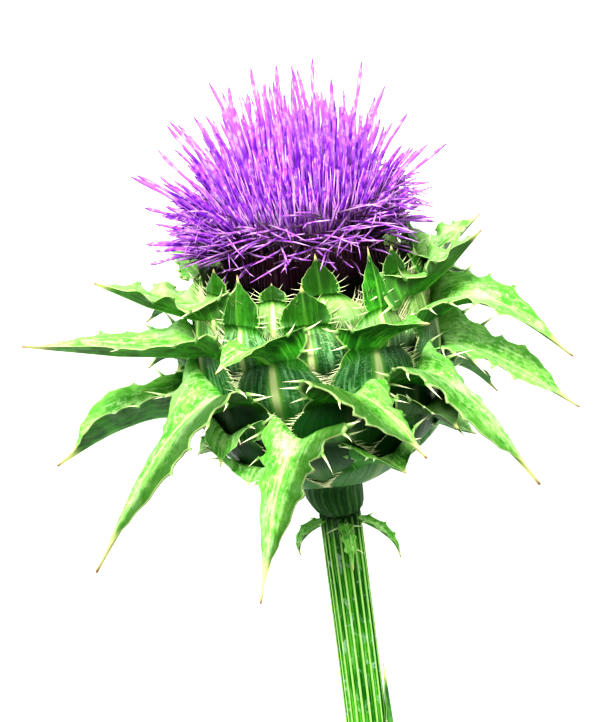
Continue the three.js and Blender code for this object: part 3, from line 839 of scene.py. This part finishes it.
# %% The tuft's sizes, and a strand of it
column_rise = 5.0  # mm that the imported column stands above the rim
tuft_height = 20.0  # from the tuft's heart up to its tips
tuft_spread = 20.7  # and out to them
tuft_lean = 1.7  # how much further it reaches on its left than in its middle
droop = 14.0  # how far down the lowest would reach
column_radius = 12.8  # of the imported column, at the outermost florets' feet
bend_radius = 13.2  # where those florets bend outward
thread_radius = 13.4
tuft_heart = Vector((0, 0, rim_height + column_rise))
tube_part, lobe_part, anther_part, style_part = 0.0, 0.1, 0.5, 0.9  # for the paint, in `place`
tube_widths = [0.5, 0.5, 0.55, 0.7]  # mm across, from foot to tip, and so are the others
lobe_widths = [0.4, 0.6, 0.62, 0.56, 0.44, 0.3, 0.08]
anther_widths = [0.4, 0.62, 0.66, 0.62, 0.44]
style_widths = [0.34, 0.34, 0.36, 0.48, 0.44, 0.12]
thread_widths = [0.2, 0.36, 0.38, 0.34, 0.24, 0.06]


def add_strand(skin, line, widths, sides, part, flat, tint, depth=None):
    """A thin tube or ribbon along a line. Part says which organ it is, and depth how much painted shade
    darkens it.
    """
    count = len(widths)
    rings = []
    for step, wide in enumerate(widths):
        share = step / (count - 1)
        here = line(share)
        ahead = (line(min(1.0, share + 0.02)) - line(max(0.0, share - 0.02))).normalized()
        out = Vector((here.x, here.y, (here.z - tuft_heart.z) * 0.6 + 0.5))
        side = ahead.cross(out).normalized()
        other = side.cross(ahead).normalized()
        ring = []
        for i in range(sides):
            turn = math.tau * i / sides
            aside = math.cos(turn) * wide / 2
            point = here + side * aside + other * (math.sin(turn) * wide / 2 * flat)
            shade = depth(share) if depth else 0.0
            ring.append((point, (share, part, shade, 0.0), (share * 10, aside, tint)))
        rings.append(ring)
    add_rings(skin, rings)


def curve_between(start, control, end):
    """A curve from start to end that is pulled toward the control point."""
    return lambda t: start * (1 - t) ** 2 + control * (2 * t * (1 - t)) + end * t ** 2


# %% One floret
def add_floret(skin, lean, azimuth, chance):
    """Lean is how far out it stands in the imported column, before the tuft's own shape turns it."""
    packed = math.sin(math.radians(min(lean, 90))) ** 0.8
    style_share = 0.55 if lean > 75 else 1.0
    toward_front = max(0.0, math.cos(math.radians(azimuth)))
    lean *= 1 - 0.42 * toward_front ** 1.3
    outward, upward = math.sin(math.radians(lean)), math.cos(math.radians(lean))
    fan = on_head(outward, azimuth, upward)
    spread = tuft_spread - tuft_lean * math.sin(math.radians(azimuth))
    far = 1 / math.hypot(outward / spread, upward / (tuft_height if upward > 0 else droop))
    far *= chance.uniform(0.7, 1.0)
    foot = on_head(packed * column_radius, azimuth, rim_height - 1)
    end = tuft_heart + fan * far
    knee = on_head(packed * bend_radius, azimuth, rim_height + column_rise + 1.5 * upward)
    knee = knee.lerp(tuft_heart + fan * far * 0.5, 0.4)
    line = curve_between(foot, knee, end)
    tint = chance.random()
    mouth = chance.uniform(0.3, 0.42)
    # the tube is painted dark, as painted shade, most at its foot
    add_strand(skin, lambda t: line(t * mouth), tube_widths, 5, tube_part, 1.0, tint,
               depth=lambda t: 1.0 - t * 0.6)
    opening = line(mouth)
    onward = line(mouth + 0.3)
    axis = (line(mouth + 0.05) - opening).normalized()
    side = axis.cross(Vector((0.2, 0.4, 0.9))).normalized()
    other = axis.cross(side)
    start_turn = chance.uniform(0, math.tau)
    for lobe in range(5):
        turn = start_turn + math.tau * lobe / 5 + chance.uniform(-0.3, 0.3)
        away = side * math.cos(turn) + other * math.sin(turn)
        flare = chance.uniform(0.6, 2.6)
        reach = chance.uniform(0.78, 1.04)
        tip = opening.lerp(end, reach) + away * flare
        middle = onward.lerp(opening, 0.2) + away * flare * 0.3
        add_strand(skin, curve_between(opening, middle, tip), lobe_widths, 4, lobe_part, 0.4,
                   chance.random())
    add_strand(skin, lambda t: line(0.7 + t * 0.34), anther_widths, 6, anther_part, 1.0, tint)
    stands_out = chance.random() < 0.3
    reach = chance.uniform(5.0, 8.8) if stands_out else chance.uniform(1.5, 5.0)
    reach *= style_share
    stout = 1.5 if stands_out else 1.0
    tip_axis = (line(1.0) - line(0.9)).normalized()
    drift = Vector([chance.uniform(-1, 1) for _ in range(3)]) * 0.12
    top = line(1.0)
    style = curve_between(top - tip_axis * 0.5, top + tip_axis * reach * 0.5,
                          top + (tip_axis + drift) * reach)
    add_strand(skin, style, [wide * stout for wide in style_widths], 5, style_part, 1.0, tint)


# %% One limp thread
def add_thread(skin, azimuth, low, high, swing, reach, chance):
    """A thread by the rim: one of the outermost florets' lobes, which have gone limp and curl."""
    foot = thread_radius + (low - 2) * 0.35  # the higher ones start further out
    start = on_head(foot, azimuth, rim_height + chance.uniform(low, high))
    turned_to = azimuth + chance.uniform(-swing, swing)
    end = on_head(thread_radius + chance.uniform(*reach), turned_to,
                  start.z + chance.uniform(-2.8, 3.2))
    knee = start.lerp(end, 0.5)
    knee += on_head(chance.uniform(0, 1.5), azimuth, chance.uniform(-0.8, 2.0))
    part = style_part if chance.random() < 0.3 else lobe_part
    # the thread is painted darker toward its foot, as painted shade
    add_strand(skin, curve_between(start, knee, end), thread_widths, 4, part, 0.6, chance.random(),
               depth=lambda t: 0.36 * (1 - t) + 0.06)


# %% Lay the florets out, bundle by bundle
floret_count = 430
lowest_lean = 99
golden_angle = 137.508
bundle_width = 72  # degrees round the head
threads = [  # how many, from and to which height above the rim, how far they swing and reach
    (80, 2.0, 5.0, 16, (2.0, 6.5)),
    (300, 5.5, 11.0, 34, (4.0, 9.5)),
]
bundles = {f"floret_bundle_{i}": new_skin() for i in ("middle", 1, 2, 3, 4, 5)}
chance = random.Random("milk thistle florets")
for number in range(floret_count):
    upward = 1 - (1 - math.cos(math.radians(lowest_lean))) * (number + 0.5) / floret_count
    lean = math.degrees(math.acos(upward)) + chance.uniform(-2.5, 2.5)
    azimuth = number * golden_angle % 360
    bundle = "middle" if lean < 22 else int(azimuth // bundle_width) + 1
    add_floret(bundles[f"floret_bundle_{bundle}"], max(1.0, lean), azimuth, chance)
for count, low, high, swing, reach in threads:
    for number in range(count):
        azimuth = (number + chance.uniform(0, 1)) * 360 / count % 360
        bundle = f"floret_bundle_{int(azimuth // bundle_width) + 1}"
        add_thread(bundles[bundle], azimuth, low, high, swing, reach, chance)
tufts = [
    finish_piece("tuft_" + name.removeprefix("floret_"), skin, floret_tissue, [name])
    for name, skin in bundles.items()
]
print("florets:", floret_count, "faces per bundle:", [len(p.data.polygons) for p in tufts])

# %% [markdown]
# ## The stem's skin
# The stem is ridged: a dozen and a half ribs of pale, stiff tissue with green furrows between them, and
# painted shade as a dark band along each rib's sides, under thin cobweb wool that rubs off in patches of
# 1 to 3 mm. Fibres run along it 0.4 mm apart. It is duller than the leaves, with a roughness of about 0.6.

# %% Material: ribbed_stem
ribbed_stem, tree, note = new_material("ribbed_stem")
fibres = lay_pattern(tree, note, (0.12, 2.4, 11.0), {"Detail": 4.0})
wool = lay_pattern(tree, note, (0.35, 0.8, 5.0), {"Detail": 6.0, "Roughness": 0.75, "Distortion": 1.0})
stem_paint = paint(tree, "#268014", [
    (fibres, 0.46, 0.6, "#66BC36", 0.85),
    (fibres, 0.47, 0.36, "#155A10", 0.8),
    # painted shade: a dark band along the sides of each rib
    (note["out"], 0.3, 0.5, "#115010", 0.7),
    (note["out"], 0.56, 0.76, "#8ED054", 0.9),
    (note["out"], 0.82, 0.99, "#CDEBA4", 0.75),
    (wool, 0.53, 0.66, "#D2E8D8", 0.5),
    (note["along"], 0.07, 0.0, "#163C12", 0.75),
    (note["upper"], 0.4, 0.9, "#DCE9B4", 1.0),
])
finish_material(ribbed_stem, stem_paint, (wool, 0.5, 0.72), (fibres, 0.6, 0.0003),
                {"IOR": 1.45, "Specular IOR Level": 0.3})

# %% [markdown]
# ## Stem and receptacle
# The stem runs on from the knob under the head along its axis, then comes down until the cut end is on
# the floor. Its ribs are rounded waves round the section. The knob and the receptacle are one turned body
# with the same ribs fading out as it widens, mostly hidden by the lowest bracts.

# %% The stem's line
rib_count = 18
stem_length = 77  # mm along the floor, from the knob to the cut end
measuring_steps = 200
low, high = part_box("stem")
stem_low, stem_high = low / mm, high / mm
unlaid = laid.inverted()


def back_to_head(point):
    """A point on the floor, in mm, as it would be on the upright head."""
    return unlaid @ (point - head_place)


stem_top = laid @ Vector((0, 0, knob_foot - 0.35)) + head_place
stem_axis = (laid @ Vector((0, 0, -1))).normalized()
cut_end = Vector((stem_high.x - stem_radius - rib_height, stem_low.y, stem_radius + rib_height))
stem_points = [
    stem_top, stem_top + stem_axis * 6.2,
    stem_top.lerp(cut_end, 0.5) + Vector((0.6, 0, 0.8)), cut_end,
]


def smooth_through(points, share):
    """A Catmull-Rom curve through the points."""
    ends = [points[0] * 2 - points[1]] + points + [points[-1] * 2 - points[-2]]
    position = share * (len(points) - 1)
    first = min(int(position), len(points) - 2)
    t = position - first
    a, b, c, d = ends[first:first + 4]
    return (b * 2 + (c - a) * t + (a * 2 - b * 5 + c * 4 - d) * t ** 2
            + (b * 3 - a - c * 3 + d) * t ** 3) / 2


lengths = [0.0]
for step in range(measuring_steps):
    here = smooth_through(stem_points, step / measuring_steps)
    onward = smooth_through(stem_points, (step + 1) / measuring_steps)
    lengths.append(lengths[-1] + (onward - here).length)
print("the stem's middle line is", round(lengths[-1], 1), "mm long")


def stem_at(share):
    """The point at a share of the stem's length."""
    wanted = share * lengths[-1]
    step = next(i for i in range(1, measuring_steps + 1) if lengths[i] >= wanted - 1e-6)
    part = (wanted - lengths[step - 1]) / (lengths[step] - lengths[step - 1])
    return smooth_through(stem_points, (step - 1 + part) / measuring_steps)


def stem_frame(share):
    """The middle of the stem at a share of its length, and two directions across it."""
    ahead = (stem_at(min(1, share + 0.01)) - stem_at(max(0, share - 0.01))).normalized()
    side = ahead.cross(Vector((0, 0, 1))).normalized()
    return stem_at(share), side, ahead.cross(side)


# %% The stem
def ribbed_ring(centre, side, other, radius, share, length, depth, cut=0.0):
    """A ring with ribs of some depth. Cut is 1 on the cut face, which is pith."""
    ring = []
    count = rib_count * 8
    for i in range(count):
        turn = math.tau * i / count
        crest = 0.5 + 0.5 * math.cos(rib_count * turn)
        uneven = 1 + 0.35 * math.sin(turn * 3 + 1) + 0.2 * math.sin(turn * 7 + length * 0.05)
        out = radius + depth * uneven * (crest ** 0.8 - 0.35)
        point = centre + side * (math.cos(turn) * out) + other * (math.sin(turn) * out)
        ring.append((back_to_head(point), (share, crest, cut, 0.0), (length, turn * radius, 0.4)))
    return ring


stem_skin = new_skin()
steps = 72
stem_rings = [
    ribbed_ring(*stem_frame(step / steps), stem_radius - 0.1, step / steps,
                step * stem_length / steps, 0.45)
    for step in range(steps + 1)
]
centre, side, other = stem_frame(1.0)
ahead = side.cross(other)
hollow_pith = [(2.9, 0.0), (2.2, 0.05), (1.6, -0.5), (0.4, -0.7)]  # radius, and how far out it stands
for radius, stands_out in hollow_pith:
    stem_rings.append(ribbed_ring(centre + ahead * stands_out, side, other, radius, 1.0, stem_length,
                                  0.02, cut=1.0))
add_rings(stem_skin, stem_rings)
stem = finish_piece("ribbed_stem", stem_skin, ribbed_stem, ["stem"])
print("stem faces:", len(stem.data.polygons))

# %% The receptacle and its knob
knob_outline = [
    (0.0, knob_foot + 0.05), (3.3, knob_foot + 0.05), (3.75, knob_foot + 0.4), (4.3, knob_foot + 1.6),
    (4.75, knob_foot + 3.2), (4.85, knob_foot + 4.8), (knob_radius, -17.2), (6.2, -16.0), (9.2, -14.9),
    (13.2, -11.6), (15.2, -8.6), (16.2, -6.4), (15.6, receptacle_top), (0.0, receptacle_top),
]  # radius and height
receptacle_skin = new_skin()
receptacle_rings = []
for radius, height in knob_outline:
    bulge = max(0.0, 1 - abs(height - knob_foot - 4.2) / 3.5)  # it swells to one side
    ring = []
    for i in range(rib_count * 6):
        turn = math.tau * i / (rib_count * 6)
        crest = 0.5 + 0.5 * math.cos(rib_count * turn)
        fade = max(0.0, min(1.0, (7 - radius) / 4)) * min(1.0, radius / 3)
        out = radius + 0.25 * fade * (crest - 0.5)
        point = on_head(out, math.degrees(turn), height) + Vector((-0.7 * bulge, 0, 0))
        ring.append((point, (0.0, crest * 0.45, 0.0, 0.0), (height, turn * knob_radius, 0.7)))
    receptacle_rings.append(ring)
add_rings(receptacle_skin, receptacle_rings)
receptacle = finish_piece("knob_and_receptacle", receptacle_skin, ribbed_stem,
                          ["receptacle"])
print("receptacle faces:", len(receptacle.data.polygons))

# %% [markdown]
# ## The small leaves on the stem
# Three spiny leaflets hang from the stem's top, and one narrow leaf clasps its side lower down. They are
# the same kind of blade as the limbs, only shorter, so the same functions grow them.

# %% Leaflets and stem leaf
def grow_leaflet(name, points, azimuth, width):
    """A small blade through three points, with a few teeth and spines."""
    chance = random.Random("milk thistle " + name)
    start, middle, end = points
    curve = curve_between(start, middle * 2 - (start + end) / 2, end)
    sideways = on_head(1, azimuth + 90, 0)
    blade = {
        "line": curve, "side": lambda share: sideways, "length": (end - start).length * 1.05,
        "width": width, "shape": leaflet_shape, "thickness": 0.8, "channel": 0.2, "far_channel": 0.2,
        "roll": 0, "pillow": 0.0, "wave": 0.06, "waves": 2.0, "phase": chance.uniform(0, math.tau),
        "sweep": 0.2, "tint": chance.random(), "shade": 0.0, "painted_shade_half": 0.0,
        "teeth": [choose_teeth(chance, (0.15, 0.35, 0.58), 0.7, 0.9, (85, 70, 50)) for _ in range(2)],
    }
    skin = new_skin()
    add_rings(skin, [blade_ring(blade, step / 24) for step in range(25)])
    add_edge_spines(skin, blade, chance, 2.6, 0.24)
    return finish_piece("leaf_" + name, skin, bract_leaf, [name])


leaflet_root = stem_radius + rib_height + fit_gap + 1
leaflet_top = knob_foot - 1
neck_leaves = [  # azimuth, how far out and how high its tip is, and its width
    (-70, 8, -29, 2.3),
    (6, 7.6, -31, 1.6),
    (62, 10, -31, 1.8),
]
for number, (azimuth, reach, height, width) in enumerate(neck_leaves, 1):
    grow_leaflet(f"neck_leaflet_{number}", [
        on_head(stem_radius - 0.5, azimuth, leaflet_top),
        on_head((leaflet_root + reach) / 2 + 0.8, azimuth, (leaflet_top + height) / 2 + 0.8),
        on_head(reach, azimuth, height),
    ], azimuth, width)

clasp = []
for number, at in enumerate((0.62, 0.47, 0.33)):  # from the cut end toward the head
    beside = stem_at(at) + Vector((stem_radius + 0.35 + number * 0.1, 0, 0.5))
    clasp.append(back_to_head(beside))
stem_leaf = grow_leaflet("stem_leaf", clasp, 90, 3.6)
print("leaflets:", len(neck_leaves), "and", stem_leaf.name)

# %% [markdown]
# ## Floor, light and camera
# The floor is white card that glows a little, like a light table, so that shadows on it stay faint, and
# far out it curves up into a low wall, so that a view from the side is white as well. Its grain of about
# 1 mm only shows in its gloss. A soft light stands beyond the florets and above, so that it shines along
# the head and leaves the undersides of the limbs dark, and a weaker and broader one fills in from
# overhead. The camera looks straight down.

# %% The floor
sweep = [(1.2, 0.0), (2.4, 0.0), (2.8, 0.05), (3.05, 0.2), (3.15, 0.5), (3.2, 1.3)]  # radius, height
around = 48
below = 0.0004  # metres that the card lies under the lowest tips
floor_points = []
floor_faces = [tuple(range(around))]
for radius, height in sweep:
    for i in range(around):
        turn = math.tau * i / around
        floor_points.append((radius * math.cos(turn), radius * math.sin(turn), height - below))
for row in range(len(sweep) - 1):
    for i in range(around):
        here = row * around + i
        beside = row * around + (i + 1) % around
        floor_faces.append((here, here + around, beside + around, beside))
floor_mesh = bpy.data.meshes.new("floor")
floor_mesh.from_pydata(floor_points, [], floor_faces)
floor_mesh.validate()
floor_mesh.polygons.foreach_set("use_smooth", [True] * len(floor_mesh.polygons))
floor = bpy.data.objects.new("floor", floor_mesh)
bpy.context.scene.collection.objects.link(floor)
floor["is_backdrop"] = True

# %% Material: matt_white_card
white_card = bpy.data.materials.new("matt_white_card")
white_card.use_nodes = True
tree = white_card.node_tree
tree.nodes.clear()
where = add_node(tree, "ShaderNodeTexCoord", {})
grain = add_node(tree, "ShaderNodeTexNoise", {"Scale": 900.0}, {"Vector": where.outputs["Object"]})
card_gloss = add_node(tree, "ShaderNodeMapRange", {"To Min": 0.85, "To Max": 0.95},
                      {"Value": grain.outputs["Fac"]})
shader = add_node(tree, "ShaderNodeBsdfPrincipled", {
    "Base Color": from_hex("#A8A8A8"), "Specular IOR Level": 0.1,
    "Emission Color": (1.0, 1.0, 1.0, 1.0), "Emission Strength": 0.8,
}, {"Roughness": card_gloss.outputs["Result"]})
add_node(tree, "ShaderNodeOutputMaterial", {}, {"Surface": shader.outputs["BSDF"]})
floor_mesh.materials.append(white_card)
print("floor radius:", sweep[-1][0], "m")

# %% The lights
def add_softbox(name, place, aim, size, power):
    """A square light, its size in metres and its power in watts, turned to shine at a point."""
    light = bpy.data.lights.new(name, "AREA")
    light.shape, light.size, light.energy = "SQUARE", size, power
    softbox = bpy.data.objects.new(name, light)
    softbox.location = place
    softbox.rotation_mode = "QUATERNION"
    softbox.rotation_quaternion = (Vector(aim) - Vector(place)).to_track_quat("-Z", "Y")
    bpy.context.scene.collection.objects.link(softbox)


head_middle = as_laid(Vector((0, 0, 0)))
add_softbox("softbox_beyond", head_middle + Vector((-0.19, 0.42, 0.68)), head_middle, 0.28, 10.5)
add_softbox("softbox_overhead", head_middle + Vector((0.3, 0.15, 1.0)), head_middle, 0.6, 3.2)
world = bpy.data.worlds.new("soft_studio")
world.use_nodes = True
background = world.node_tree.nodes["Background"]
background.inputs["Color"].default_value = (1.0, 1.0, 1.0, 1.0)
background.inputs["Strength"].default_value = 0.06
bpy.context.scene.world = world
bpy.context.scene.view_settings.view_transform = "Standard"
bpy.context.scene.view_settings.look = "High Contrast"
print("softboxes:", len(bpy.data.lights))

# %% The camera
camera_height = 0.42  # above the head's middle
frame_width = 0.099  # what it sees across at that height
off_middle = (-0.00267, 0.00308)  # so that head, tuft and stem are all in view
lens = bpy.data.cameras.new("camera")
lens.sensor_fit = "HORIZONTAL"
lens.sensor_width = 36
lens.lens = lens.sensor_width * camera_height / frame_width
camera = bpy.data.objects.new("camera", lens)
camera.location = head_middle + Vector((*off_middle, camera_height))
bpy.context.scene.collection.objects.link(camera)
bpy.context.scene.camera = camera
print("lens", round(lens.lens, 1), "mm")

# %% [markdown]
# ## The size at the end
# The finer pieces may stand a little proud of the CAD solids, but the flower must keep its size, so how
# far its box grows past the CAD box on each side is printed.

# %% Write the sizes and finish
low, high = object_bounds()
grown_low = [round(v * 1000, 1) for v in cad_low - low]
grown_high = [round(v * 1000, 1) for v in high - cad_high]
print("grows by, mm:", grown_low, "and", grown_high)
